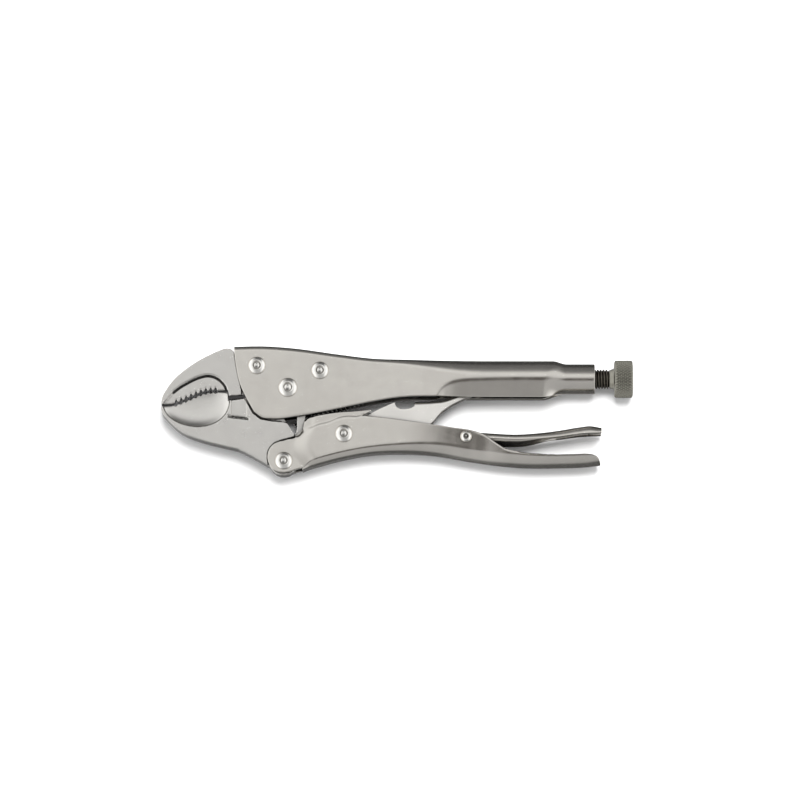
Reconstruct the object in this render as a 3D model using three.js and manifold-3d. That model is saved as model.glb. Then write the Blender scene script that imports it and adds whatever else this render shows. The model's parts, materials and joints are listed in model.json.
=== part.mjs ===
// Locking pliers with curved jaws and a wire cutter, closed and locked, lying on their side.
// Units are millimetres. X runs from the jaw tips to the adjusting knob, Y runs from the lower
// handle to the upper handle, and Z is the thickness of the tool. Every piece is symmetric about
// the middle plane. The pieces are drawn around the jaw pivot, and the whole tool is then moved
// so that the middle of its underside is the origin.
import * as THREE from 'three';
import { mergeVertices } from 'three/addons/utils/BufferGeometryUtils.js';
import Module from 'manifold-3d';

const wasm = await Module();
wasm.setup();

// ---------------------------------------------------------------- driving dimensions

const GAP = 0.3;               // clearance between neighbouring pieces
const SHEET = 2.0;             // steel sheet of the handles and the link
const TANG_HALF = 4.6;         // half thickness of the jaws between the handle's cheeks
const NOSE_HALF = 6.0;         // half thickness of the jaws' noses
const CHEEK_INNER = TANG_HALF + GAP;

// pivots and rivets, from the jaw pivot
const JAW_PIVOT = [0, 0];
const LEVER_PIVOT = [-2.1, -39.0];
const LINK_PIVOT = [29.6, -24.7];
const RELEASE_PIVOT = [94.0, -26.2];
const FRONT_RIVET = [-16.4, 11.7];
const REAR_RIVET = [16.9, 9.1];
const SCREW_AXIS = 5.4;        // height of the adjusting screw's axis
const LINK_END = [108.0, SCREW_AXIS];

const SHANK = 2.4;             // radius of the rivets' shanks
const PIVOT_SHANK = 2.8;
const RELEASE_SHANK = 1.6;
const HEAD = 4.7;              // radius of the rivets' heads
const PIVOT_HEAD = 5.1;
const RELEASE_HEAD = 3.1;
const HEAD_HEIGHT = 1.6;

const HANDLE_FRONT_HALF = CHEEK_INNER + SHEET;   // half width of the upper handle at the jaws
const HANDLE_REAR_HALF = 8.9;
const FRONT_BEND = 2.6;        // radius of the fold along the top, at the front
const FLARE_START = 25;
const FLARE_END = 100;
const SKIRT_LEAN = 0.26;       // the rear skirts lean in by this angle below the round top
const SKIRT_EDGE = -5.1;       // lower edge of the rear skirts
const SHOULDER_START = 140.5;  // the channel closes into the neck from here
const NECK_START = 147.3;
const NECK_END = 162.1;
const NECK_RADIUS = 7.95;

const THREAD_RADIUS = 5.2;
const THREAD_DEPTH = 0.8;
const THREAD_PITCH = 1.5;
const THREAD_TURNS = 24;
const SCREW_TIP = LINK_END[0] + 4.3;
const THREAD_END = 170.5;
const BOSS_START = 170.8;      // short boss in front of the knob
const BOSS_RADIUS = 5.5;
const KNOB_START = 172.4;
const KNOB_END = 182.2;
const KNOB_RADIUS = 9.9;
const KNOB_NECK = 4.0;
const RING_AT = 118;           // groove of the snap ring
const RING_WIDTH = 1.0;
const RING_RADIUS = 6.2;

const HUB_RADIUS = 5.6;        // lower jaw around its pivot
const LOBE_RADIUS = 7.6;       // lower jaw around the lever pivot
const DISC_RADIUS = 8.3;       // front discs of the lower handle
const DISC_RISE = 2.2;         // their middle lies this far above the lever pivot
const DISC_RELIEF = 8.9;       // the lower jaw is thinner under them
const LEVER_HALF = 7.7;        // half width of the lower handle behind its joggle
const LEVER_SHEET = 1.9;
const LINK_HALF = 5.3;
const LINK_TIP_HALF = 3.8;     // the link is narrower inside the upper handle
const RELEASE_HALF = 5.1;
const RELEASE_SHEET = 1.4;

const POCKET_FLOOR = 4.3;      // half thickness of the upper jaw under its pocket
const TOOTH_PITCH = 2.6;
const TOOTH_COUNT = 9;
const TEETH_START = -60.3;
const BITE_GAP = 0.45;         // half of the gap left between the closed jaws
const UPPER_TOOTH = 2.2;
const LOWER_TOOTH = 0.9;

const SPRING_HOOK = [3.4, -19.2];
const SPRING_ANCHOR = [57.0, 2.2];
const SPRING_RADIUS = 2.6;     // middle of the wire
const SPRING_WIRE = 0.6;
const SPRING_TURNS = 18;

const NICKEL = { color: 0xc9c2b8, metalness: 1.0, roughness: 0.32 };
const FORGED_NICKEL = { color: 0xbdb8af, metalness: 1.0, roughness: 0.38 };
const BRIGHT_NICKEL = { color: 0xd6d1c8, metalness: 1.0, roughness: 0.2 };
const DARK_STEEL = { color: 0x6b675e, metalness: 1.0, roughness: 0.42 };

// ---------------------------------------------------------------- helpers

// a closed surface as a solid, with its faces turned outwards
function solidOf(geometry) {
  const bare = geometry.clone();
  bare.deleteAttribute('normal');
  bare.deleteAttribute('uv');
  const merged = mergeVertices(bare, 1e-4);
  const vertProperties = new Float32Array(merged.attributes.position.array);
  const triVerts = new Uint32Array(merged.index.array);
  const solid = new wasm.Manifold(new wasm.Mesh({ numProp: 3, vertProperties, triVerts }));
  if (solid.volume() > 0) return solid;
  return new wasm.Manifold(new wasm.Mesh({ numProp: 3, vertProperties, triVerts: triVerts.reverse() }));
}

function meshOf(name, solid, finish) {
  const result = solid.getMesh();
  const geometry = new THREE.BufferGeometry();
  geometry.setAttribute('position', new THREE.BufferAttribute(result.vertProperties, 3));
  geometry.setIndex(new THREE.BufferAttribute(result.triVerts, 1));
  const mesh = new THREE.Mesh(geometry, new THREE.MeshStandardMaterial(finish));
  mesh.name = name;
  return mesh;
}

const vectors = (points) => points.map(([x, y]) => new THREE.Vector2(x, y));

// a flat outline: each run is a list of corner points, or { curve } for a smooth run through
// points, or { arc } for a round one
function outline(...runs) {
  const shape = new THREE.Shape();
  const [first] = runs[0];
  shape.moveTo(first[0], first[1]);
  for (const run of runs) {
    if (run.curve) shape.splineThru(vectors(run.curve));
    else if (run.arc) shape.absarc(...run.arc);
    else run.forEach(([x, y]) => shape.lineTo(x, y));
  }
  return shape;
}

function circle([x, y], radius) {
  return new THREE.Shape().absarc(x, y, radius, 0, 2 * Math.PI);
}

function prism(shape, low, high, curveSegments = 3) {
  const geometry = new THREE.ExtrudeGeometry(shape, {
    depth: high - low, bevelEnabled: false, curveSegments,
  });
  return solidOf(geometry.translate(0, 0, low));
}

const through = (shape, half, segments) => prism(shape, -half, half, segments);

// the same outline on both sides of the middle plane
function pair(shape, inner, outer, segments) {
  return prism(shape, inner, outer, segments).add(prism(shape, -outer, -inner, segments));
}

const drill = (centre, radius, half = 20) => through(circle(centre, radius), half, 12);

// a solid of revolution about a line along X at the screw's height; the profile is [x, radius]
function turned(profile, segments = 32) {
  const geometry = new THREE.LatheGeometry(profile.map(([x, r]) => new THREE.Vector2(r, x)), segments);
  geometry.rotateZ(-Math.PI / 2);
  return solidOf(geometry.translate(0, SCREW_AXIS, 0));
}

const clamp01 = (t) => Math.min(1, Math.max(0, t));
const mix = (a, b, t) => a + (b - a) * t;
function smoothstep(a, b, x) {
  const t = clamp01((x - a) / (b - a));
  return t * t * (3 - 2 * t);
}

// height of a smooth line through points, at a given x
function profileLine(points) {
  const curve = new THREE.CatmullRomCurve3(points.map(([x, y]) => new THREE.Vector3(x, y, 0)));
  const samples = curve.getPoints(160);
  return (x) => {
    const index = samples.findIndex((p) => p.x >= x);
    if (index < 0) return samples.at(-1).y;
    if (index === 0) return samples[0].y;
    const a = samples[index - 1];
    const b = samples[index];
    return mix(a.y, b.y, (x - a.x) / (b.x - a.x));
  };
}

// Folds a sheet into a long channel. A half pipe of the right number of cells is extruded and
// each of its points is then moved to its place: row 0 is one edge of the sheet, the last row is
// the other edge, and place(x, row, inside) gives [y, z].
function foldedSheet(stations, rows, place) {
  const blank = new THREE.Shape();
  const angle = (row) => (Math.PI * row) / rows;
  for (let row = 0; row <= rows; row += 1) {
    const point = [2 * Math.cos(angle(row)), 2 * Math.sin(angle(row))];
    if (row === 0) blank.moveTo(...point);
    else blank.lineTo(...point);
  }
  for (let row = rows; row >= 0; row -= 1) blank.lineTo(Math.cos(angle(row)), Math.sin(angle(row)));
  const steps = stations.length - 1;
  const geometry = new THREE.ExtrudeGeometry(blank, { depth: 1, steps, bevelEnabled: false });
  const position = geometry.attributes.position;
  for (let i = 0; i < position.count; i += 1) {
    const radius = Math.hypot(position.getX(i), position.getY(i));
    const row = Math.round((Math.atan2(position.getY(i), position.getX(i)) / Math.PI) * rows);
    const x = stations[Math.round(position.getZ(i) * steps)];
    const [y, z] = place(x, row, radius < 1.5);
    position.setXYZ(i, x, y, z);
  }
  return solidOf(geometry);
}

function spread(from, to, count) {
  return Array.from({ length: count + 1 }, (_, i) => mix(from, to, i / count));
}

// ---------------------------------------------------------------- upper handle

const handleTop = profileLine([
  [-30, 22.0], [-12, 22.4], [2, 21.4], [27, 17.9], [45, 15.7], [65, 15.2], [105, 15.1], [150, 15.1],
]);

const handleHalf = (x) => mix(HANDLE_FRONT_HALF, HANDLE_REAR_HALF, smoothstep(FLARE_START, FLARE_END, x));

// Behind the crease the skirts lean inwards below it. It starts at their edge and climbs.
const creaseHeight = profileLine([
  [70, -26], [75, -12], [78.4, -6], [80.3, -3.4], [82.1, -0.7], [85.6, 2.1], [90, 3.5], [96, 4.0], [109, 4.4],
  [150, 4.4],
]);
const CREASE_SOFT = 1.2;       // half of the height over which the crease is rounded

function skirtInset(x, y) {
  const below = creaseHeight(x) - y;
  if (below < -CREASE_SOFT) return 0;
  const run = below > CREASE_SOFT ? below : (below + CREASE_SOFT) ** 2 / (4 * CREASE_SOFT);
  return run * Math.tan(SKIRT_LEAN);
}

// Rows of half of the section: the skirt's edge, one on each side of the crease, five round the
// bend and one on top.
const BEND_CELLS = 5;
const HALF_ROWS = 3 + BEND_CELLS;

function skirtHeight(x, step) {
  const edge = x > 120 ? SKIRT_EDGE - 0.3 : -20;
  if (step === 0) return edge;
  return Math.max(creaseHeight(x) + (step === 1 ? -CREASE_SOFT : CREASE_SOFT), edge + step);
}

function channelPoint(x, step, offset) {
  const half = handleHalf(x);
  const top = handleTop(x);
  const bend = mix(FRONT_BEND, half, smoothstep(45, 105, x));
  const radius = Math.max(bend - offset, 0.5);
  if (step >= HALF_ROWS) return [top - offset, 0];
  if (step >= 3) {
    const turn = ((step - 3) / (BEND_CELLS - 1)) * (Math.PI / 2);
    return [top - offset - radius * (1 - Math.sin(turn)), half - offset - radius * (1 - Math.cos(turn))];
  }
  const y = skirtHeight(x, step);
  return [y, half - offset - skirtInset(x, y)];
}

// the same point of the sheet where it is closed round the neck
function neckPoint(step, offset) {
  const turn = mix(-1.3, Math.PI / 2, Math.min(step / HALF_ROWS, 1));
  const radius = NECK_RADIUS + 0.05 - offset;
  return [SCREW_AXIS + radius * Math.sin(turn), radius * Math.cos(turn)];
}

function handleSection(x, row, inside) {
  const side = row <= HALF_ROWS ? 1 : -1;
  const step = row <= HALF_ROWS ? row : 2 * HALF_ROWS - row;
  const offset = inside ? SHEET : 0;
  const open = channelPoint(x, step, offset);
  const closed = neckPoint(step, offset);
  const closing = smoothstep(SHOULDER_START, NECK_START, x);
  return [mix(open[0], closed[0], closing), side * mix(open[1], closed[1], closing)];
}

function handleOutline() {
  return outline(
    [[-28.1, 30], [-28.1, 22.2], [-27.0, 11.5], [-24.8, 1.3]],
    { curve: [[-21.2, -6.7], [-17.8, -12.8], [-13.7, -15.8], [-8.4, -16.6]] },
    { curve: [[6.3, -15.0], [27.5, -11.0], [48.6, -6.8], [57.5, -5.5], [80.3, -4.6], [96, SKIRT_EDGE]] },
    [[140.8, SKIRT_EDGE], [149, -2.9], [149, 30], [-28.1, 30]],
  );
}

function handleNeck() {
  return turned([
    [NECK_START - 2.6, NECK_RADIUS], [NECK_END - 0.8, NECK_RADIUS], [NECK_END, NECK_RADIUS - 0.8],
    [NECK_END, THREAD_RADIUS + GAP], [NECK_START - 1.2, THREAD_RADIUS + GAP],
    [NECK_START - 2.6, NECK_RADIUS - 1.4], [NECK_START - 2.6, NECK_RADIUS],
  ], 28);
}

// a tab lanced out of the top of the channel, with a hole for the spring's hook
function springTab() {
  const [x, y] = SPRING_ANCHOR;
  const tab = through(outline([[x + 1, y - 2.6], [x + 1, 14.2], [x + 3, 14.2], [x + 3, y - 2.6]]), 2.2);
  const hole = new THREE.CylinderGeometry(1.6, 1.6, 6, 12).rotateZ(Math.PI / 2);
  return tab.subtract(solidOf(hole.translate(x + 2, y + 0.8, 0)));
}

function tabWindow() {
  const left = SPRING_ANCHOR[0] + 3.4;
  return through(outline([[left, 10], [left, 20], [left + 12, 20], [left + 12, 10]]), 2.4);
}

function upperHandle() {
  const stations = [
    -30, ...spread(-20, 70, 9), 75, 78.4, 81, 84, 88, 93, 100, 119, ...spread(SHOULDER_START, NECK_START, 4),
  ];
  return foldedSheet(stations, 2 * HALF_ROWS, handleSection)
    .intersect(through(handleOutline(), 20, 4))
    .subtract(tabWindow())
    .add(handleNeck())
    .add(springTab())
    .subtract(drill(FRONT_RIVET, SHANK + GAP))
    .subtract(drill(REAR_RIVET, SHANK + GAP))
    .subtract(drill(JAW_PIVOT, PIVOT_SHANK + GAP));
}

// ---------------------------------------------------------------- jaws

const biteLine = profileLine([
  [-62, -9.0], [-58, -8.0], [-51, -4.9], [-44.5, -2.3], [-40, -1.7], [-36, -1.7],
]);

// corner points of a toothed edge; sign is 1 for the upper jaw and -1 for the lower
function teeth(sign, depth) {
  const points = [];
  for (let i = 0; i < TOOTH_COUNT; i += 1) {
    const start = TEETH_START + i * TOOTH_PITCH;
    const tipHeight = (x) => biteLine(x) + sign * BITE_GAP;
    points.push([start, tipHeight(start)]);
    points.push([start + 0.4, tipHeight(start + 0.4)]);
    points.push([start + TOOTH_PITCH / 2, tipHeight(start + TOOTH_PITCH / 2) + sign * depth]);
    points.push([start + TOOTH_PITCH - 0.3, tipHeight(start + TOOTH_PITCH - 0.3)]);
  }
  return points;
}

const TEETH_END = TEETH_START + TOOTH_COUNT * TOOTH_PITCH;

function upperNoseOutline() {
  return outline(
    [[-66.8, -9.0]],
    { curve: [[-65.8, -3.6], [-59.4, 5.3], [-49.3, 13.2], [-39.1, 18.7], [-33.6, 20.9]] },
    { curve: [[-31.8, 21.0], [-29.8, 20.5], [-28.5, 19.2]] },
    [[-27.3, 11.5], [-25.1, 1.3], [-24.6, -2.0], [-24.6, -3.9], [-31.2, -4.4]],
    [[-31.5, -1.3], [TEETH_END, -1.3]],
    teeth(1, UPPER_TOOTH).reverse(),
    [[-61.4, -8.5], [-66.8, -9.0]],
  );
}

// the tang lies between the cheeks, over the hub of the lower jaw
function upperTangOutline() {
  const hubGap = HUB_RADIUS + 0.4;
  return outline(
    [[-31, 0], [-31, 17], [-26, 19.4], [-12, 19.6], [2, 18.6], [22, 15.9]],
    { curve: [[24.6, 14.2], [25, 9.6], [23.4, 5.6], [20, 4.4]] },
    [[hubGap * Math.cos(0.82), 4.4]],
    { arc: [0, 0, hubGap, 0.82, Math.PI + 0.45, false] },
    [[-22.7, -3.8], [-30.9, -4.4], [-31, 0]],
  );
}

// crescent pocket above the teeth, on both sides of the nose
function upperPocket() {
  return outline(
    [[-31.7, -3]],
    { curve: [[-32.5, 0.5], [-34.6, 3.4], [-37.6, 5.7], [-42.0, 6.9], [-46.6, 6.0]] },
    { curve: [[-52.8, 3.1], [-59.4, -1.0], [-65.2, -7.6]] },
    [[-66.4, -10.4], [-59, -10.6], [-36, -4.4], [-31.7, -3]],
  );
}

function upperJaw() {
  return through(upperNoseOutline(), NOSE_HALF, 4)
    .subtract(pair(upperPocket(), POCKET_FLOOR, 8, 4))
    .add(through(upperTangOutline(), TANG_HALF, 8))
    .subtract(drill(FRONT_RIVET, SHANK + GAP))
    .subtract(drill(REAR_RIVET, SHANK + GAP));
}

function lowerJawOutline() {
  const [x, y] = LEVER_PIVOT;
  return outline(
    [[-66.8, -10.0]],
    { curve: [[-65.4, -14.6], [-56, -23.6], [-45.9, -27.8], [-35.4, -30.6], [-25.9, -32.8]] },
    { curve: [[-19, -36.2], [x - 6.6, y - 3.1]] },
    { arc: [x, y, LOBE_RADIUS, Math.PI + 0.44, 2 * Math.PI + 0.35, false] },
    [[7.0, -29.0]],
    { curve: [[8.4, -22.4], [9.2, -15.0], [8.6, -8.0], [5.4, -1.4]] },
    { arc: [0, 0, HUB_RADIUS, -0.25, Math.PI + 0.75, false] },
    [[-22.7, -4.9], [-31.1, -5.5], [-31.9, -2.6], [TEETH_END, -2.2]],
    teeth(-1, LOWER_TOOTH).reverse(),
    [[-61.4, -9.5], [-66.8, -10.0]],
  );
}

// where the lower jaw is only as thick as its tang: under the cheeks of the upper handle, and
// under the discs and cheeks of the lower handle
function lowerJawReliefs() {
  const [x, y] = LEVER_PIVOT;
  const underCheeks = outline([
    [-26, -4.2], [-23.9, -4.6], [-22.0, -7.2], [-18.6, -13.6], [-14.4, -16.8], [-9.0, -17.8],
    [-2, -18.4], [4, -20.4], [10, -20.6], [16, -18], [16, 8], [-26, 8], [-26, -4.2],
  ]);
  const beside = outline([
    [x - 2, y + 10.9], [0, -27.0], [3.4, -26.0], [3.4, -18], [16, -18], [16, -50], [x, -50],
    [x - 2, y + 10.9],
  ]);
  return pair(underCheeks, TANG_HALF, 9)
    .add(pair(circle([x, y + DISC_RISE], DISC_RELIEF), TANG_HALF, 9, 16))
    .add(pair(circle(LEVER_PIVOT, LOBE_RADIUS + 1), TANG_HALF, 9, 12))
    .add(pair(beside, TANG_HALF, 9));
}

// the spoon-shaped hollow on each side of the lower jaw, broader towards the pivot
const DISH = { length: 18.6, height: 13.0, depth: 6.2, swell: 0.12, turn: 0.05, centre: [-48.4, -8.2] };

function lowerDish(side) {
  const bowl = new THREE.SphereGeometry(1, 28, 16);
  const position = bowl.attributes.position;
  for (let i = 0; i < position.count; i += 1) {
    const x = position.getX(i);
    const swell = 1 + DISH.swell * x;
    const y = position.getY(i) * swell;
    const z = position.getZ(i) * swell;
    position.setXYZ(i, x * DISH.length, y * DISH.height, z * DISH.depth);
  }
  bowl.rotateZ(DISH.turn);
  return solidOf(bowl.translate(...DISH.centre, side * (NOSE_HALF + 2.2)));
}

function lowerJaw() {
  const cutterPocket = outline([[-29.9, -5], [-29.9, -15.6], [-21.4, -16.6], [-21.4, -5]]);
  const hookHole = outline([[-2.0, -13.4], [-2.0, -16.2], [3.6, -25.0], [4.9, -21.6], [4.9, -13.4]]);
  const springSlot = outline([[4, -23.0], [4, -14.4], [12, -12.0], [12, -23.0]]);
  return through(lowerJawOutline(), NOSE_HALF, 5)
    .subtract(lowerJawReliefs())
    .subtract(lowerDish(1))
    .subtract(lowerDish(-1))
    .subtract(pair(cutterPocket, NOSE_HALF - 1.0, 9))
    .subtract(through(hookHole, 9))
    .subtract(through(springSlot, 1.2))
    .subtract(drill(JAW_PIVOT, PIVOT_SHANK + GAP))
    .subtract(drill(LEVER_PIVOT, SHANK + GAP));
}

// ---------------------------------------------------------------- lower handle

const leverBottom = profileLine([
  [6, -44.2], [11.6, -42.6], [27.5, -38.2], [43.8, -35.2], [59, -34.6], [76, -35.6],
  [97.7, -39.2], [112, -41.2], [124, -42.3], [144, -42.3], [158, -41.6], [166, -40.6],
]);

const LEVER_CELLS = 6;

// Rows from the edge of one cheek round the underside to the edge of the other.
function leverSection(x, row, inside) {
  const rows = 2 * (LEVER_CELLS + 1);
  const side = row <= rows / 2 ? 1 : -1;
  const step = row <= rows / 2 ? row : rows - row;
  const offset = inside ? LEVER_SHEET : 0;
  const half = LEVER_HALF - offset;
  const width = Math.min(mix(4.2, LEVER_HALF, smoothstep(40, 90, x)) - offset * 0.9, half);
  const depth = mix(4.2, 7.0, smoothstep(40, 90, x)) - offset;
  const bottom = leverBottom(x) + offset;
  if (step === 0) return [-8, side * half];
  if (step > LEVER_CELLS) return [bottom, 0];
  const turn = ((step - 1) / (LEVER_CELLS - 1)) * (Math.PI / 2);
  return [bottom + depth * (1 - Math.sin(turn)), side * (half - width * (1 - Math.cos(turn)))];
}

function leverCheekOutline() {
  return outline(
    [[9.3, -60], [9.3, -18.0]],
    { curve: [[14.1, -15.6], [20, -14.3], [26.1, -13.4], [37.7, -12.5], [46.2, -11.5]] },
    [[39.6, -15.0]],
    { curve: [[43.8, -15.5], [65, -18.1], [86.6, -21.3], [99, -23.4]] },
    [[103.4, -25.0], [114.6, -32.6]],
    { curve: [[121, -34.0], [136, -35.6], [150, -35.7], [158.4, -35.3]] },
    { curve: [[162.4, -36.3], [164.6, -39.2], [165.2, -42.0]] },
    [[165.2, -60], [9.3, -60]],
  );
}

// flat front of one cheek, round the lever pivot
function leverFrontOutline() {
  const [x, y] = LEVER_PIVOT;
  const topTurn = 1.75;
  const rise = y + DISC_RISE;
  const start = [x + DISC_RADIUS * Math.cos(topTurn), rise + DISC_RADIUS * Math.sin(topTurn)];
  return outline(
    [start],
    { arc: [x, rise, DISC_RADIUS, topTurn, 1.5 * Math.PI, false] },
    [[2.2, -44.6], [5.4, -43.5], [9.3, -42.9], [13.4, -41.6], [13.4, -15.9], [9.6, -17.8]],
    { curve: [[8.3, -19.8], [7.9, -22.6], [6.6, -25.0], [3.6, -26.9], [-0.1, -27.8]] },
    [start],
  );
}

function lowerHandle() {
  const front = CHEEK_INNER + LEVER_SHEET;
  const joggle = outline([[9.3, -43.4], [9.3, -18.0], [13.4, -16.0], [13.4, -41.6]]);
  const webRelief = outline([[0, -60], [0, -14], [8.0, -14], [8.0, -60]]);
  return foldedSheet([4, ...spread(16, 96, 8), 108, 122, 144, 168], 2 * (LEVER_CELLS + 1), leverSection)
    .intersect(through(leverCheekOutline(), 20, 4))
    .subtract(through(webRelief, 20))
    .add(pair(leverFrontOutline(), CHEEK_INNER, front, 12))
    .add(pair(joggle, CHEEK_INNER + 0.4, LEVER_HALF - 0.5))
    .subtract(drill(LEVER_PIVOT, SHANK + GAP))
    .subtract(drill(LINK_PIVOT, SHANK + GAP))
    .subtract(drill(RELEASE_PIVOT, RELEASE_SHANK + GAP));
}

// ---------------------------------------------------------------- toggle link

// how far the rivet runs in the link's eye while the handles open
const EYE_RUN = [4.5, -0.7];

// top of the fold between the link's two leaves
const linkTop = profileLine([
  [42, -8.0], [56, -7.9], [66, -7.3], [76, -6.6], [84, -5.4], [91, -2.0], [99, 4.2], [106, 9.0], [114, 11.5],
]);

const linkHalf = (x) => mix(LINK_HALF, LINK_TIP_HALF, smoothstep(64, 84, x));

const LINK_CELLS = 4;

function linkSection(x, row, inside) {
  const rows = 2 * (LINK_CELLS + 1);
  const side = row <= rows / 2 ? 1 : -1;
  const step = row <= rows / 2 ? row : rows - row;
  const offset = inside ? SHEET : 0;
  const top = linkTop(x) - offset;
  const half = linkHalf(x) - offset;
  const bend = 3.2 - offset;
  if (step === 0) return [-60, side * half];
  if (step > LINK_CELLS) return [top, 0];
  const turn = ((step - 1) / (LINK_CELLS - 1)) * (Math.PI / 2);
  return [top - bend * (1 - Math.sin(turn)), side * (half - bend * (1 - Math.cos(turn)))];
}

function linkOutline() {
  const [x, y] = LINK_PIVOT;
  const [endX, endY] = LINK_END;
  return outline(
    [[x - 1.6, y + 5.8], [40.0, -15.2], [48.6, -11.0], [56.4, -7.4]],
    { curve: [[57.4, -10.2], [61.4, -11.2], [65.4, -10.2], [66.4, -7.0]] },
    [[67, 14], [endX, 14]],
    { arc: [endX, endY, 4, 1.5, -1.2, true] },
    { curve: [[102, -1.6], [91.3, -6.5], [84, -10.6], [79.6, -14.0], [76, -18.9]] },
    { curve: [[70, -23.0], [58, -25.6], [44, -28.6], [x + 5, y - 6.0]] },
    { arc: [x + 0.6, y, 6.2, -1.2, 2.0, true] },
    [[x - 1.6, y + 5.8]],
  );
}

function toggleLink() {
  const [x, y] = LINK_PIVOT;
  const [runX, runY] = EYE_RUN;
  const eye = SHANK + 0.8;
  const slot = outline(
    [[x, y + eye]],
    { arc: [x, y, eye, Math.PI / 2, 1.5 * Math.PI, false] },
    { arc: [x + runX, y + runY, eye, 1.5 * Math.PI, 2.5 * Math.PI, false] },
    [[x, y + eye]],
  );
  const stations = [20, 44, 56, 64, 70, 77, 84, 91, 95.5, 100, 104, 114];
  return foldedSheet(stations, 2 * (LINK_CELLS + 1), linkSection)
    .add(through(circle(LINK_END, 4), LINK_TIP_HALF - 0.5, 6))
    .intersect(through(linkOutline(), LINK_HALF, 4))
    .subtract(through(slot, 20, 8));
}

// ---------------------------------------------------------------- release lever

const releaseTop = profileLine([
  [78, -22.4], [88, -22.6], [96, -23.0], [108.8, -24.0], [120, -24.5], [132, -23.8], [144, -22.3],
  [154, -20.6], [160, -19.9], [166, -21.2],
]);

const RELEASE_CELLS = 5;

function releaseSection(x, row, inside) {
  const rows = 2 * (RELEASE_CELLS + 1);
  const side = row <= rows / 2 ? 1 : -1;
  const step = row <= rows / 2 ? row : rows - row;
  const offset = inside ? RELEASE_SHEET : 0;
  const half = mix(RELEASE_HALF, 6.6, smoothstep(118, 150, x)) - offset;
  const bend = mix(2.2, 4.2, smoothstep(118, 150, x)) - offset * 0.8;
  const top = releaseTop(x) - offset;
  if (step === 0) return [-50, side * half];
  if (step > RELEASE_CELLS) return [top, 0];
  const turn = ((step - 1) / (RELEASE_CELLS - 1)) * (Math.PI / 2);
  return [top - bend * (1 - Math.sin(turn)), side * (half - bend * (1 - Math.cos(turn)))];
}

function releaseOutline() {
  return outline(
    [[80, -10], [80, -24.6], [84, -26.4]],
    { curve: [[89, -29.6], [94, -30.4], [103, -30.3], [114.6, -30.8], [122.5, -30.7]] },
    { curve: [[128, -29.8], [133, -28.5], [138, -27.2], [144, -26.2], [154, -24.8], [166, -24.2]] },
    [[165.6, -10], [80, -10]],
  );
}

function releaseLever() {
  return foldedSheet([76, ...spread(84, 168, 10)], 2 * (RELEASE_CELLS + 1), releaseSection)
    .intersect(through(releaseOutline(), 20, 4))
    .subtract(drill(RELEASE_PIVOT, RELEASE_SHANK + GAP));
}

// ---------------------------------------------------------------- screw, knob and ring

function adjustingScrew() {
  const groove = THREAD_RADIUS - THREAD_DEPTH;
  const threadStart = THREAD_END - THREAD_TURNS * THREAD_PITCH;
  const profile = [[SCREW_TIP, 0], [SCREW_TIP, 3.4], [SCREW_TIP + 1.2, groove]];
  profile.push([RING_AT - 0.3, groove], [RING_AT - 0.3, 3.6]);
  profile.push([RING_AT + RING_WIDTH + 0.3, 3.6], [RING_AT + RING_WIDTH + 0.3, groove]);
  for (let turn = 0; turn < THREAD_TURNS; turn += 1) {
    const x = threadStart + turn * THREAD_PITCH;
    profile.push([x, groove], [x + THREAD_PITCH / 2, THREAD_RADIUS]);
  }
  profile.push([THREAD_END, groove], [THREAD_END, KNOB_NECK], [KNOB_END - 2.3, KNOB_NECK], [KNOB_END - 2.3, 0]);
  return turned(profile, 16);
}

function screwKnob() {
  const bore = KNOB_NECK + GAP;
  return turned([
    [BOSS_START, bore], [BOSS_START, BOSS_RADIUS], [KNOB_START, BOSS_RADIUS],
    [KNOB_START, KNOB_RADIUS - 1.1], [KNOB_START + 1.1, KNOB_RADIUS],
    [KNOB_END - 1.1, KNOB_RADIUS], [KNOB_END, KNOB_RADIUS - 1.1], [KNOB_END, 0],
    [KNOB_END - 2, 0], [KNOB_END - 2, bore], [BOSS_START, bore],
  ], 40);
}

function screwStopRing() {
  const inner = 3.6 + GAP;
  return turned([
    [RING_AT, inner], [RING_AT + RING_WIDTH, inner], [RING_AT + RING_WIDTH, RING_RADIUS],
    [RING_AT, RING_RADIUS], [RING_AT, inner],
  ], 24);
}

// ---------------------------------------------------------------- rivets

// A riveted pin: on each side a rounded head with a dimple in its middle.
function rivet([x, y], half, shank, head) {
  const seat = half + 0.2;
  const side = [
    [shank, seat], [head, seat], [0.92 * head, seat + 0.6 * HEAD_HEIGHT],
    [0.7 * head, seat + HEAD_HEIGHT], [0.52 * head, seat + 0.92 * HEAD_HEIGHT],
    [0.3 * head, seat + 0.5 * HEAD_HEIGHT], [0, seat + 0.38 * HEAD_HEIGHT],
  ];
  const mirror = side.map(([r, z]) => [r, -z]).reverse();
  const profile = [...mirror, ...side].map(([r, z]) => new THREE.Vector2(r, z));
  const geometry = new THREE.LatheGeometry(profile, 16).rotateX(Math.PI / 2);
  return solidOf(geometry.translate(x, y, 0));
}

// ---------------------------------------------------------------- tension spring

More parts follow.
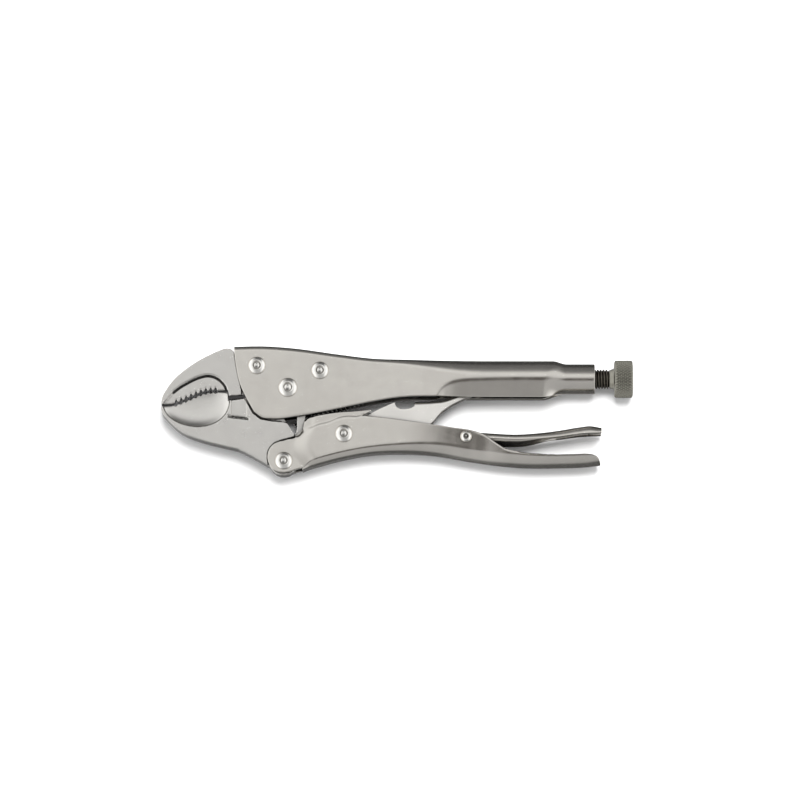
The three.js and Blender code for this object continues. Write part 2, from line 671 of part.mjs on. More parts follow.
function springPath() {
  const start = new THREE.Vector3(...SPRING_HOOK, 0);
  const end = new THREE.Vector3(...SPRING_ANCHOR, 0);
  const length = start.distanceTo(end);
  const along = end.clone().sub(start).normalize();
  const across = new THREE.Vector3(-along.y, along.x, 0);
  const coilStart = 9.6;
  const coilEnd = length - 7;
  const at = (distance, radius, angle) => start.clone()
    .addScaledVector(along, distance)
    .addScaledVector(across, radius * Math.cos(angle))
    .setZ(radius * Math.sin(angle));
  const side = Math.PI / 2;
  const points = [at(0, 2.4, side), at(0, 1.2, side), at(0.7, 0.1, side), at(2.5, 0, side), at(7.0, 0.3, side)];
  const steps = SPRING_TURNS * 8;
  for (let i = 0; i <= steps; i += 1) {
    const turn = (2 * Math.PI * SPRING_TURNS * i) / steps;
    points.push(at(mix(coilStart, coilEnd, i / steps), SPRING_RADIUS, side + turn));
  }
  points.push(at(coilEnd + 2.4, 1.6, side), at(length - 3, 0.3, side), at(length, 0, 0), at(length + 3.2, 0, 0));
  return new THREE.CatmullRomCurve3(points);
}

function tensionSpring() {
  const wire = new THREE.Shape().absarc(0, 0, SPRING_WIRE, 0, 2 * Math.PI);
  return solidOf(new THREE.ExtrudeGeometry(wire, {
    steps: SPRING_TURNS * 8 + 20, curveSegments: 3, extrudePath: springPath(), bevelEnabled: false,
  }));
}

// ---------------------------------------------------------------- the whole tool

const frontHead = HANDLE_FRONT_HALF;
const pliers = new THREE.Group();
pliers.add(
  meshOf('upper_handle', upperHandle(), NICKEL),
  meshOf('upper_jaw', upperJaw(), FORGED_NICKEL),
  meshOf('lower_jaw', lowerJaw(), FORGED_NICKEL),
  meshOf('lower_handle', lowerHandle(), NICKEL),
  meshOf('toggle_link', toggleLink(), NICKEL),
  meshOf('release_lever', releaseLever(), NICKEL),
  meshOf('adjusting_screw', adjustingScrew(), DARK_STEEL),
  meshOf('screw_knob', screwKnob(), DARK_STEEL),
  meshOf('screw_stop_ring', screwStopRing(), DARK_STEEL),
  meshOf('jaw_rivet_front', rivet(FRONT_RIVET, frontHead, SHANK, HEAD), BRIGHT_NICKEL),
  meshOf('jaw_rivet_rear', rivet(REAR_RIVET, frontHead, SHANK, HEAD), BRIGHT_NICKEL),
  meshOf('jaw_pivot_rivet', rivet(JAW_PIVOT, frontHead, PIVOT_SHANK, PIVOT_HEAD), BRIGHT_NICKEL),
  meshOf('lever_pivot_rivet', rivet(LEVER_PIVOT, CHEEK_INNER + LEVER_SHEET, SHANK, HEAD), BRIGHT_NICKEL),
  meshOf('link_rivet', rivet(LINK_PIVOT, LEVER_HALF, SHANK, HEAD), BRIGHT_NICKEL),
  meshOf('release_rivet', rivet(RELEASE_PIVOT, LEVER_HALF, RELEASE_SHANK, RELEASE_HEAD), BRIGHT_NICKEL),
  meshOf('tension_spring', tensionSpring(), DARK_STEEL),
);

// the underside's middle becomes the origin
const box = new THREE.Box3().setFromObject(pliers);
pliers.position.set(-(box.min.x + box.max.x) / 2, -(box.min.y + box.max.y) / 2, -box.min.z);

export default pliers;
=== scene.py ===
import json
import math

import bmesh
import bpy
import numpy as np
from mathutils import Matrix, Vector


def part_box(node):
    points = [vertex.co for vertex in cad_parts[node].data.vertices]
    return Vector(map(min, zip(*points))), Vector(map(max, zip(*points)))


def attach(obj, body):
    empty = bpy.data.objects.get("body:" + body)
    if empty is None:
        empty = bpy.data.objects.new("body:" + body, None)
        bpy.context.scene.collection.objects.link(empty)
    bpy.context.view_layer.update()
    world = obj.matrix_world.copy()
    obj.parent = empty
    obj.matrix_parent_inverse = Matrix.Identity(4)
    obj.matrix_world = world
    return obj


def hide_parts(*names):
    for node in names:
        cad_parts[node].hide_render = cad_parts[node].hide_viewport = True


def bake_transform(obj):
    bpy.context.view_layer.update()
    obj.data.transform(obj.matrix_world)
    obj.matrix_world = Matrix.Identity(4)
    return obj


# Looks of the locking pliers. Shapes are drawn in millimetres from the jaw pivot, as the frame is,
# and moved into the frame when their mesh is made.

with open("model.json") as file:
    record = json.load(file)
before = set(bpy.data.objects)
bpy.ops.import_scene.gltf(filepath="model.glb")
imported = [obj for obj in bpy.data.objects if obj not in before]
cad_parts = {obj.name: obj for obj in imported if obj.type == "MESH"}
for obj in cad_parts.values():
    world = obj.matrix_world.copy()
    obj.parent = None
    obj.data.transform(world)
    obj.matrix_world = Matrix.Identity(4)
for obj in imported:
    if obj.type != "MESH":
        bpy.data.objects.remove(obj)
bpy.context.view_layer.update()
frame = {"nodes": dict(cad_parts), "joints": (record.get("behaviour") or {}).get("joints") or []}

MM = 0.001
SAME = 1e-6                     # two places closer than this are one
JOINTS = {joint["name"]: joint for joint in frame["joints"]}
ORIGIN = Vector(JOINTS["jaw_open"]["pos_m"])


def local(point):
    """A point of the frame, in millimetres from the jaw pivot."""
    return (Vector(point) - ORIGIN) / MM


def local_box(node):
    low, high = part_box(node)
    return local(low), local(high)


def middle(node):
    low, high = local_box(node)
    return (low + high) / 2


LEVER_PIVOT = local(JOINTS["handle_open"]["pos_m"])
LINK_END = local(JOINTS["link_swing"]["pos_m"])
RELEASE_PIVOT = local(JOINTS["release_press"]["pos_m"])
LINK_PIVOT = middle("link_rivet")
SCREW_AXIS = LINK_END.y

SHEET = 2.0                     # thickness of the upper handle and the link
LEVER_SHEET = 1.9
RELEASE_SHEET = 1.4
TAB_SHEET = 1.9
TANG_HALF = 4.9                 # inside of the cheeks at the jaws
FRONT_HALF = TANG_HALF + SHEET
REAR_HALF = local_box("upper_handle")[1].z
LEVER_FRONT_HALF = TANG_HALF + LEVER_SHEET
LEVER_HALF = local_box("lower_handle")[1].z
LINK_HALF = local_box("toggle_link")[1].z
LINK_TIP_HALF = 3.8
NOSE_HALF = local_box("upper_jaw")[1].z
NECK_START = 147.3
NECK_END = local_box("upper_handle")[1].x
NECK_RADIUS = 7.9
FRONT_FADE = 34                 # the shape of a piece's front edge fades out over this length

# ---------------------------------------------------------------- curves


def mix(a, b, t):
    return a + (b - a) * t


def smoothstep(low, high, x):
    t = np.clip((x - low) / (high - low), 0, 1)
    return t * t * (3 - 2 * t)


def height_through(points):
    """A smooth height for each x, through points."""
    xs, ys = np.array(points, float).T
    slopes = np.gradient(ys, xs)

    def height(x):
        x = np.clip(x, xs[0], xs[-1])
        k = np.clip(np.searchsorted(xs, x, side="right") - 1, 0, len(xs) - 2)
        step = xs[k + 1] - xs[k]
        t = (x - xs[k]) / step
        rise = (3 - 2 * t) * t * t
        lift = slopes[k] * t * (1 - t) ** 2 - slopes[k + 1] * t * t * (1 - t)
        return ys[k] * (1 - rise) + ys[k + 1] * rise + step * lift

    return height


def evenly(points, count):
    """count points at even distances along a line of points."""
    points = np.asarray(points, float)
    steps = np.linalg.norm(np.diff(points, axis=0), axis=1)
    run = np.concatenate([[0], np.cumsum(steps)])
    at = np.linspace(0, run[-1], count)
    return np.stack([np.interp(at, run, axis) for axis in points.T], 1)


def curve_through(points, count):
    """count points at even distances along a smooth curve through points."""
    points = np.array(points, float)
    steps = np.linalg.norm(np.diff(points, axis=0), axis=1)
    run = np.concatenate([[0], np.cumsum(steps)])
    axes = [height_through(np.stack([run, axis], 1)) for axis in points.T]
    fine = np.linspace(0, run[-1], 30 * len(points))
    return evenly(np.stack([axis(fine) for axis in axes], 1), count)


def arc(centre, radius, start, end, count):
    turn = np.linspace(start, end, count)
    return np.stack([centre[0] + radius * np.cos(turn), centre[1] + radius * np.sin(turn)], 1)


def stations(*stretches):
    """Places along x: each stretch is (from, to, number of steps)."""
    lines = [np.linspace(a, b, n, endpoint=False) for a, b, n in stretches]
    return np.concatenate(lines + [[stretches[-1][1]]])


# ---------------------------------------------------------------- meshes


def new_piece(name, points, faces):
    """A smooth-shaded mesh object from points in millimetres."""
    mesh = bpy.data.meshes.new(name)
    placed = np.asarray(points, float) * MM + np.array(ORIGIN)
    mesh.from_pydata(placed.tolist(), [], [tuple(map(int, face)) for face in faces])
    mesh.validate()
    mesh.shade_smooth()
    piece = bpy.data.objects.new(name, mesh)
    bpy.context.scene.collection.objects.link(piece)
    return piece


def finish_piece(piece, body, nodes, material, weighted=True):
    piece.data.materials.clear()
    piece.data.materials.append(material)
    if weighted:
        piece.modifiers.new("flat faces shade flat", "WEIGHTED_NORMAL")
    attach(piece, body)
    if nodes:
        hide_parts(*nodes)
    return piece


MITRE_LIMIT = 0.6


def bent_sheet(name, outer, thickness, keep=None, edge=0.35):
    """A bent steel sheet with rounded rims. outer[i, j] are the points of its outer face, whose
    normal is along x across; keep[i, j] says which cells of that grid exist."""
    columns, rows = outer.shape[:2]
    if keep is None:
        keep = np.ones((columns - 1, rows - 1), bool)
    flat = outer.reshape(-1, 3)
    number = np.arange(columns * rows).reshape(columns, rows)
    corners = np.stack([number[:-1, :-1], number[1:, :-1], number[1:, 1:], number[:-1, 1:]], -1)
    cells = corners[keep]
    across = flat[cells[:, 2]] - flat[cells[:, 0]]
    along = flat[cells[:, 3]] - flat[cells[:, 1]]
    facing = np.cross(across, along)
    normal = np.zeros_like(flat)
    for corner in range(4):
        np.add.at(normal, cells[:, corner], facing)
    normal /= np.maximum(np.linalg.norm(normal, axis=1), 1e-12)[:, None]

    directed = np.concatenate([cells[:, [k, (k + 1) % 4]] for k in range(4)])
    known = set(map(tuple, directed.tolist()))
    rim = [(a, b) for a, b in directed.tolist() if (b, a) not in known]
    outward = {}
    for a, b in rim:
        out = np.cross(flat[b] - flat[a], normal[a] + normal[b])
        if not out.any():
            continue
        out /= np.linalg.norm(out)
        outward.setdefault(a, []).append(out)
        outward.setdefault(b, []).append(out)
    for vertex, ways in outward.items():
        total = np.sum(ways, axis=0)
        half_turn = np.linalg.norm(total) / len(ways)
        outward[vertex] = total / np.linalg.norm(total) / max(half_turn, MITRE_LIMIT)

    round_turns = np.radians([0, 30, 60, 90])   # the rim's section
    levels = [(edge * (np.sin(t) - 1), edge * (1 - np.cos(t))) for t in round_turns]
    levels += [(a, thickness - depth) for a, depth in reversed(levels)]
    points, faces, place = [], [], {}

    def point(vertex, level):
        key = (vertex, level)
        if key not in place:
            place[key] = len(points)
            reach, depth = levels[level]
            shift = outward[vertex] * reach if vertex in outward else 0
            points.append(flat[vertex] + shift - normal[vertex] * depth)
        return place[key]

    last = len(levels) - 1
    for cell in cells.tolist():
        faces.append([point(v, 0) for v in cell])
        faces.append([point(v, last) for v in reversed(cell)])
    for a, b in rim:
        for level in range(last):
            ring = [(b, level), (a, level), (a, level + 1), (b, level + 1)]
            faces.append([point(*corner) for corner in ring])
    return new_piece(name, points, faces)


def patch(top, low, front):
    """Points filling the face between two paths, row 0 on low and the last row on top. The first
    column is bent to follow front, and the bend fades out along the face."""
    count = len(front)
    share = np.linspace(0, 1, count)[None, :, None]
    grid = mix(low[:, None, :], top[:, None, :], share)
    bend = front - grid[0]
    run = top[:, 0] - top[0, 0]
    fade = 1 - smoothstep(0, FRONT_FADE, run)
    return grid + fade[:, None, None] * bend[None]


def both_sides(half):
    """A whole section grid from one side's rows, whose last row lies on the middle plane."""
    mirrored = half[:, -2::-1] * np.array([1, 1, -1])
    return np.concatenate([half, mirrored], 1)


def turned(name, profile, segments, centre, axis):
    """A solid of revolution. The profile is [distance along the axis, radius] from end to end."""
    profile = np.asarray(profile, float)
    turn = np.arange(segments) * 2 * np.pi / segments
    along, radius = profile[:, 0, None], profile[:, 1, None]
    flat = [along + 0 * turn, radius * np.cos(turn), radius * np.sin(turn)]
    order = {"x": (0, 1, 2), "z": (1, 2, 0)}[axis]
    points = np.stack([flat[k] for k in order], -1) + np.array(centre)
    return tube_piece(name, points)


def tube_piece(name, rings):
    """A closed body from rings of points; each end ring is closed by one face."""
    count, around = rings.shape[:2]
    number = np.arange(count * around).reshape(count, around)
    following = np.roll(number, -1, axis=1)
    quads = np.stack([number[:-1], number[1:], following[1:], following[:-1]], -1).reshape(-1, 4)
    faces = [list(quad) for quad in quads[:, ::-1]]
    faces.append(list(number[0][::-1]))
    faces.append(list(number[-1]))
    piece = new_piece(name, rings.reshape(-1, 3), faces)
    recalculate(piece)
    return piece


def recalculate(piece):
    """Turns all faces outwards."""
    work = bmesh.new()
    work.from_mesh(piece.data)
    bmesh.ops.remove_doubles(work, verts=work.verts, dist=1e-7)
    bmesh.ops.recalc_face_normals(work, faces=work.faces)
    work.to_mesh(piece.data)
    work.free()


# ---------------------------------------------------------------- materials


class Nodes:
    """A small helper that adds and links shader nodes."""

    def __init__(self, tree):
        self.tree = tree

    def set(self, socket, value):
        if isinstance(value, bpy.types.NodeSocket):
            self.tree.links.new(value, socket)
        else:
            socket.default_value = value

    def add(self, kind, inputs=(), **settings):
        node = self.tree.nodes.new(kind)
        for key, value in settings.items():
            setattr(node, key, value)
        for key, value in dict(inputs).items():
            self.set(node.inputs[key], value)
        return node

    def ramp(self, source, stops):
        node = self.add("ShaderNodeValToRGB", {"Fac": source})
        elements = node.color_ramp.elements
        while len(elements) < len(stops):
            elements.new(0.5)
        for element, (position, grey) in zip(elements, stops):
            element.position = position
            colour = (grey, grey, grey) if isinstance(grey, (int, float)) else grey
            element.color = (*colour, 1)
        return node.outputs["Color"]

    def noise(self, scale, detail=3, stretch=(1, 1, 1)):
        place = self.add("ShaderNodeTexCoord").outputs["Object"]
        spread = tuple(scale * s / MM for s in stretch)
        moved = self.add("ShaderNodeMapping", {"Vector": place, "Scale": spread})
        inputs = {"Vector": moved.outputs[0], "Scale": 1, "Detail": detail}
        return self.add("ShaderNodeTexNoise", inputs).outputs["Fac"]

    def blend(self, mode, amount, a, b):
        node = self.add("ShaderNodeMix", data_type="RGBA", blend_type=mode)
        for index, value in ((0, amount), (6, a), (7, b)):
            self.set(node.inputs[index], value)
        return node.outputs[2]


METALLIC = 0.98
# black for the painted shade in the bite between the jaws
BITE_SHADE_BLACK = (0.006, 0.005, 0.004, 1)
CREVICE, HOLLOW = 2.2, 14.0     # how far apart the walls stand where painted shade darkens crevices, and where painted shade darkens hollows
HOLLOW_SHADE = 0.94
RUBBED = 1.18                   # worn edges are brighter by this factor


def plated_steel(name, colour, roughness, grain=(1, 1, 1), grain_depth=0.003, crevice_shade=0.75):
    """Metal with a fine grain, cloudy gloss, rubbed edges, painted shade where pieces meet and in
    hollows, and painted black shade in the jaws' bite.
    """
    material = bpy.data.materials.new(name)
    material.use_nodes = True
    nodes = Nodes(material.node_tree)
    shader = material.node_tree.nodes["Principled BSDF"]
    shader.inputs["Metallic"].default_value = METALLIC

    clouds = nodes.noise(0.09, 4)
    shade = nodes.ramp(clouds, [(0.3, 0.94), (0.7, 1.0)])
    tinted = nodes.blend("MULTIPLY", 1.0, (*colour, 1), shade)
    # painted shade: the colour darkens where other surfaces stand close, for the shade that falls
    # in crevices and hollows
    for reach, unshaded, depth in ((CREVICE, 0.8, crevice_shade), (HOLLOW, 0.72, HOLLOW_SHADE)):
        corners = nodes.add("ShaderNodeAmbientOcclusion", {"Distance": reach * MM}, samples=6)
        painted_shade = nodes.ramp(corners.outputs["AO"], [(0.22, 1 - depth), (unshaded, 1.0)])
        tinted = nodes.blend("MULTIPLY", 1.0, tinted, painted_shade)
    edges = nodes.add("ShaderNodeNewGeometry").outputs["Pointiness"]
    rubbed = nodes.ramp(edges, [(0.52, 0.0), (0.6, 0.35)])
    bright = tuple(min(1, channel * RUBBED) for channel in colour)
    tinted = nodes.blend("MIX", rubbed, tinted, (*bright, 1))
    # painted black shade on the walls of the jaws' bite, from a layer written on the jaws
    painted_bite_shade = nodes.add("ShaderNodeAttribute", attribute_name="painted_bite_shade").outputs["Fac"]
    tinted = nodes.blend("MIX", painted_bite_shade, tinted, BITE_SHADE_BLACK)
    nodes.set(shader.inputs["Base Color"], tinted)

    patches = nodes.ramp(nodes.noise(0.22, 5), [(0.3, roughness * 0.85), (0.75, roughness * 1.2)])
    nodes.set(shader.inputs["Roughness"], patches)

    relief = {"Height": nodes.noise(2.2, 4, grain), "Strength": 0.5, "Distance": grain_depth * MM}
    bump = nodes.add("ShaderNodeBump", relief)
    nodes.set(shader.inputs["Normal"], bump.outputs["Normal"])
    return material


SHEET_NICKEL = plated_steel("sheet nickel", (0.69, 0.665, 0.62), 0.2, grain=(0.25, 1, 1))
FORGED_NICKEL = plated_steel("forged nickel", (0.69, 0.675, 0.645), 0.24, grain_depth=0.005)
# the sheet nickel painted lighter for the link: a painted highlight for the brighter light its
# leaves catch
LIGHTER_LINK_NICKEL = plated_steel("link nickel painted lighter", (0.86, 0.84, 0.80), 0.18)
RIVET_NICKEL = plated_steel("rivet nickel", (0.86, 0.845, 0.81), 0.1, grain_depth=0.001,
                            crevice_shade=0.35)
SCREW_STEEL = plated_steel("oiled screw steel", (0.17, 0.155, 0.13), 0.3, crevice_shade=0.9)
KNOB_STEEL = plated_steel("knurled knob steel", (0.33, 0.32, 0.275), 0.32, crevice_shade=0.85)
SPRING_STEEL = plated_steel("spring steel", (0.45, 0.44, 0.41), 0.25)

# ---------------------------------------------------------------- upper handle

HANDLE_FRONT_LOW = (-17.8, -12.8)
HANDLE_FRONT_TOP = (-28.45, 19.7)
FRONT_PART, CLOSING_PART = 12, 134      # where the handle's front part ends, and its neck begins
FRONT_SLANT = -0.06
FRONT_BEND = 2.6                # radius of the fold along the top, at the front
WINDOW = (60, 72.6)             # the opening in the handle's back that the spring's tab left
SKIRT_LEAN = 0.26
CREASE_SOFT = 1.2
ARC_ROWS = 15
ARC_END = math.radians(82)
SKIRT_ROWS = 24

crown_line = height_through([
    (-30, 22.0), (-12, 22.3), (2, 21.3), (27, 17.9), (45, 15.7), (65, 15.15), (105, 15.0),
    (165, 15.0),
])
crease_line = height_through([
    (-30, -26), (60, -26), (70, -24), (75, -12), (78.4, -6), (80.3, -3.4), (82.1, -0.7),
    (85.6, 2.1), (90, 3.5), (96, 4.0), (109, 4.4), (165, 4.4),
])
handle_edge = height_through([
    HANDLE_FRONT_LOW, (-13.7, -15.8), (-8.4, -16.5), (6.3, -15.0), (27.5, -11.0), (35.4, -9.3),
    (48.6, -6.75), (57.5, -5.4), (80.3, -4.7), (96, -5.0), (120, -5.1), (165, -5.1),
])


def handle_half(x):
    return mix(FRONT_HALF, REAR_HALF, smoothstep(25, 100, x))


def skirt_inset(x, y):
    """How far the skirt lies inwards of the flat cheek: it leans below the crease."""
    below = crease_line(x) - y
    rounded = (np.clip(below, -CREASE_SOFT, CREASE_SOFT) + CREASE_SOFT) ** 2 / (4 * CREASE_SOFT)
    return (rounded + np.maximum(below - CREASE_SOFT, 0)) * math.tan(SKIRT_LEAN)


def handle_arc(x):
    """Rows of the section at x from where the skirt ends, round the top, to the middle plane."""
    half, crown = handle_half(x), crown_line(x)
    bend = mix(FRONT_BEND, half, smoothstep(45, 105, x))
    turn = np.linspace(0, ARC_END, ARC_ROWS)
    ys = crown - bend * (1 - np.sin(turn))
    zs = half - bend * (1 - np.cos(turn))
    fall = crown - ys[-1]
    ys = np.concatenate([ys, [crown - fall / 4, crown]])
    zs = np.concatenate([zs, [zs[-1] / 2, 0]])
    return ys, zs


def upper_handle():
    rear = [(FRONT_PART, CLOSING_PART, 98), (CLOSING_PART, NECK_START, 26),
            (NECK_START, NECK_END, 12)]
    top_x = stations((HANDLE_FRONT_TOP[0], FRONT_PART, 46), *rear)
    low_x = stations((HANDLE_FRONT_LOW[0], FRONT_PART, 46), *rear)
    fade = 1 - smoothstep(0, FRONT_FADE, top_x - top_x[0])
    front = [HANDLE_FRONT_LOW, (-21.2, -6.7), (-25.0, 1.3), (-27.35, 11.5), HANDLE_FRONT_TOP]
    front = curve_through(front, SKIRT_ROWS + 1)
    skirt_top, arcs = [], []
    for column, x in enumerate(top_x):
        ys, zs = handle_arc(x)
        slant = FRONT_SLANT * (ys - ys[0]) * fade[column]
        skirt_top.append((x, ys[0]))
        arcs.append(np.stack([x + slant, ys, zs], 1))
    low = np.stack([low_x, handle_edge(low_x)], 1)
    skirt = patch(np.array(skirt_top), low, front)
    columns = []
    for column, x in enumerate(top_x):
        rows = skirt[column, :-1]
        skirt_z = handle_half(x) - skirt_inset(x, rows[:, 1])
        arcs[column][:, 2] -= skirt_inset(x, arcs[column][:, 1])
        section = np.concatenate([np.column_stack([rows, skirt_z]), arcs[column]])
        columns.append(close_neck(section))
    outer = both_sides(np.array(columns))
    keep = np.ones((outer.shape[0] - 1, outer.shape[1] - 1), bool)
    middle_row = keep.shape[1] // 2
    window = (top_x[:-1] > WINDOW[0]) & (top_x[1:] < WINDOW[1])
    keep[window, middle_row - 1:middle_row + 1] = False
    piece = bent_sheet("handle_shell", outer, SHEET, keep)
    return finish_piece(piece, "upper_handle", ["upper_handle"], SHEET_NICKEL)


NECK_SEAM = -1.5                # direction of the slit under the neck


def close_neck(section):
    """Draws a section of the channel in to the round neck, by how far along the tool it lies."""
    steps = np.linalg.norm(np.diff(section[:, 1:], axis=0), axis=1)
    share = np.concatenate([[0], np.cumsum(steps)]) / steps.sum()
    start = mix(134.5, 140, smoothstep(0.35, 0.7, share))   # the skirts close before the top
    closing = smoothstep(start, NECK_START, section[0, 0])
    turn = mix(NECK_SEAM, np.pi / 2, share)
    closed = np.stack([SCREW_AXIS + NECK_RADIUS * np.sin(turn), NECK_RADIUS * np.cos(turn)], 1)
    section = section.copy()
    section[:, 1:] = mix(section[:, 1:], closed, closing[:, None])
    return section


def neck_nut():
    """The tapped sleeve pressed into the neck."""
    inner, outer, chamfer, around = 5.45, NECK_RADIUS - SHEET + 0.05, 0.3, 64
    start, end = NECK_START - 1, NECK_END - 0.5
    profile = [(start, inner), (start, outer), (end - chamfer, outer), (end, outer - chamfer),
               (end, inner)]
    piece = turned("neck_nut", profile, around, (0, SCREW_AXIS, 0), "x")
    close_ring(piece, len(profile), around)
    return finish_piece(piece, "upper_handle", [], SHEET_NICKEL)


def close_ring(piece, count, around):
    """Turns a turned body with two capped ends into a ring, by joining its ends instead."""
    mesh = piece.data
    points = [tuple(v.co) for v in mesh.vertices]
    number = np.arange(count * around).reshape(count, around)
    following = np.roll(number, -1, axis=1)
    after, after_following = np.roll(number, -1, axis=0), np.roll(following, -1, axis=0)
    quads = np.stack([number, after, after_following, following], -1).reshape(-1, 4)
    mesh.clear_geometry()
    mesh.from_pydata(points, [], quads.tolist())
    mesh.shade_smooth()
    recalculate(piece)


def spring_tab():
    """The tab bent down out of the window in the handle's back, with the spring's hole."""
    root, tip, hole_top, hole_low, hole_half, half = 14.2, -0.4, 3.8, 2.2, 0.8, 2.2
    heights = stations((root, hole_top, 8), (hole_top, hole_low, 1), (hole_low, tip, 2))
    widths = stations((-half, -hole_half, 1), (-hole_half, hole_half, 1), (hole_half, half, 1))
    grid = np.zeros((len(heights), len(widths), 3))
    grid[..., 0] = WINDOW[0] + 1.2 * smoothstep(11, root, heights)[:, None]
    grid[..., 1] = heights[:, None]
    grid[..., 2] = widths[None, :]
    keep = np.ones((len(heights) - 1, len(widths) - 1), bool)
    keep[8, 1] = False
    piece = bent_sheet("spring_tab", grid[:, ::-1], TAB_SHEET, keep, edge=0.25)
    return finish_piece(piece, "upper_handle", [], SHEET_NICKEL)


# ---------------------------------------------------------------- lower handle

lever_bottom = height_through([
    (4, -45.0), (11.6, -42.6), (27.5, -38.2), (43.8, -35.2), (59, -34.6), (76, -35.6),
    (97.7, -39.2), (112, -41.2), (124, -42.2), (144, -42.2), (158, -41.6), (166, -40.6),
])
lever_top = height_through([
    (-3.6, -28.6), (-0.1, -27.8), (3.6, -26.9), (6.6, -25.0), (7.9, -23.1), (13.4, -21.2),
    (14.8, -20.6), (22.2, -18.6), (26.9, -16.6), (31.1, -15.8), (36.9, -15.8), (39.6, -15.2),
    (43.8, -15.5), (65, -18.1), (86.6, -21.3), (99, -23.4), (103.4, -25.0), (109, -29.0),
    (114.6, -32.4), (121, -34.0), (136, -35.5), (150, -35.6), (158.4, -35.4), (162.0, -36.4),
    (164.0, -38.2), (165.0, -40.0),
])
# A rim stands above that line at the front, set in a little. Its rear end is cut off slanting.
rim_top = height_through([
    (7.9, -22.6), (8.3, -19.8), (9.6, -17.8), (14.1, -15.6), (20, -14.3), (26.1, -13.4),
    (37.7, -12.5), (46.2, -11.5),
])
LEVER_END = 165.0
RIM_START, RIM_CUT, RIM_END = 7.9, 39.6, 44.0
RIM_TIP = 1.1                   # height of the rim's blunt rear end
RIM_STEP = 0.4                  # the rim lies this far inside the cheek's face
RIM_ROWS = 5
WEB_START = RIM_START           # the underside is open in front of here
CHEEK_ROWS = 14
BEND_ROWS = 14
DISC_RADIUS = 8.55
DISC_RISE = 2.2                 # the disc's middle lies this far above the pivot
DISC_TURN = 1.75                # where the disc's outline meets the top edge
FRONT_CORNER, REAR_CORNER = 4.2, 7.0    # radius of the fold to the underside
CHEEK_LEAN = 0.13               # the rear cheeks lean in by this angle below their rim
REAR_RIM = 1.3


def lever_half(x):
    return mix(LEVER_FRONT_HALF, LEVER_HALF, smoothstep(RIM_START, 15.5, x))


def lever_section(x):
    """The outer face at x from the cheek's edge down to the middle of the underside, and how far
    along it the cheek ends."""
    bottom, edge = lever_bottom(x), lever_top(x)
    wide = smoothstep(40, 90, x)
    small = smoothstep(WEB_START - 1, 13, x)
    width = mix(0.8, mix(FRONT_CORNER, LEVER_HALF, wide), small)
    depth = mix(0.8, mix(FRONT_CORNER, REAR_CORNER, wide), small)
    half = lever_half(x)
    turn = np.linspace(0, np.pi / 2, 60)
    ys = bottom + depth * (1 - np.sin(turn))
    zs = half - width * (1 - np.cos(turn))
    lean = CHEEK_LEAN * smoothstep(56, 108, x)
    above = np.linspace(max(edge, ys[0]) + SAME, ys[0], 30, endpoint=False)
    ys = np.concatenate([above, ys])
    zs = np.concatenate([np.full(len(above), half), zs])
    rim = REAR_RIM * smoothstep(94, 101, x)
    zs = zs - np.tan(lean) * np.maximum(edge - rim - ys, 0) * (zs / half)
    line = np.stack([ys, zs], 1)[ys <= edge + SAME]
    run = np.concatenate([[0], np.cumsum(np.linalg.norm(np.diff(line, axis=0), axis=1))])
    cheek = max(0.0, edge - (bottom + depth))
    return line, run, mix(cheek, 0.4 * run[-1], smoothstep(60, 112, x))


def rim_rows(x):
    """The rim's rows at x, from its edge down to the line where the cheek begins."""
    here = min(max(x, RIM_START), RIM_END)
    if here <= RIM_CUT:
        low = lever_top(here) + 0.5
    else:
        share = (here - RIM_CUT) / (RIM_END - RIM_CUT)
        low = mix(lever_top(RIM_CUT) + 0.3, rim_top(RIM_END) - RIM_TIP, share)
    low = min(low, rim_top(here) - 0.1)
    heights = np.linspace(rim_top(here), low, RIM_ROWS + 1)
    depth = lever_half(here) - RIM_STEP * smoothstep(9, 13.4, here)
    return np.column_stack([np.full(RIM_ROWS + 1, x), heights, np.full(RIM_ROWS + 1, depth)])


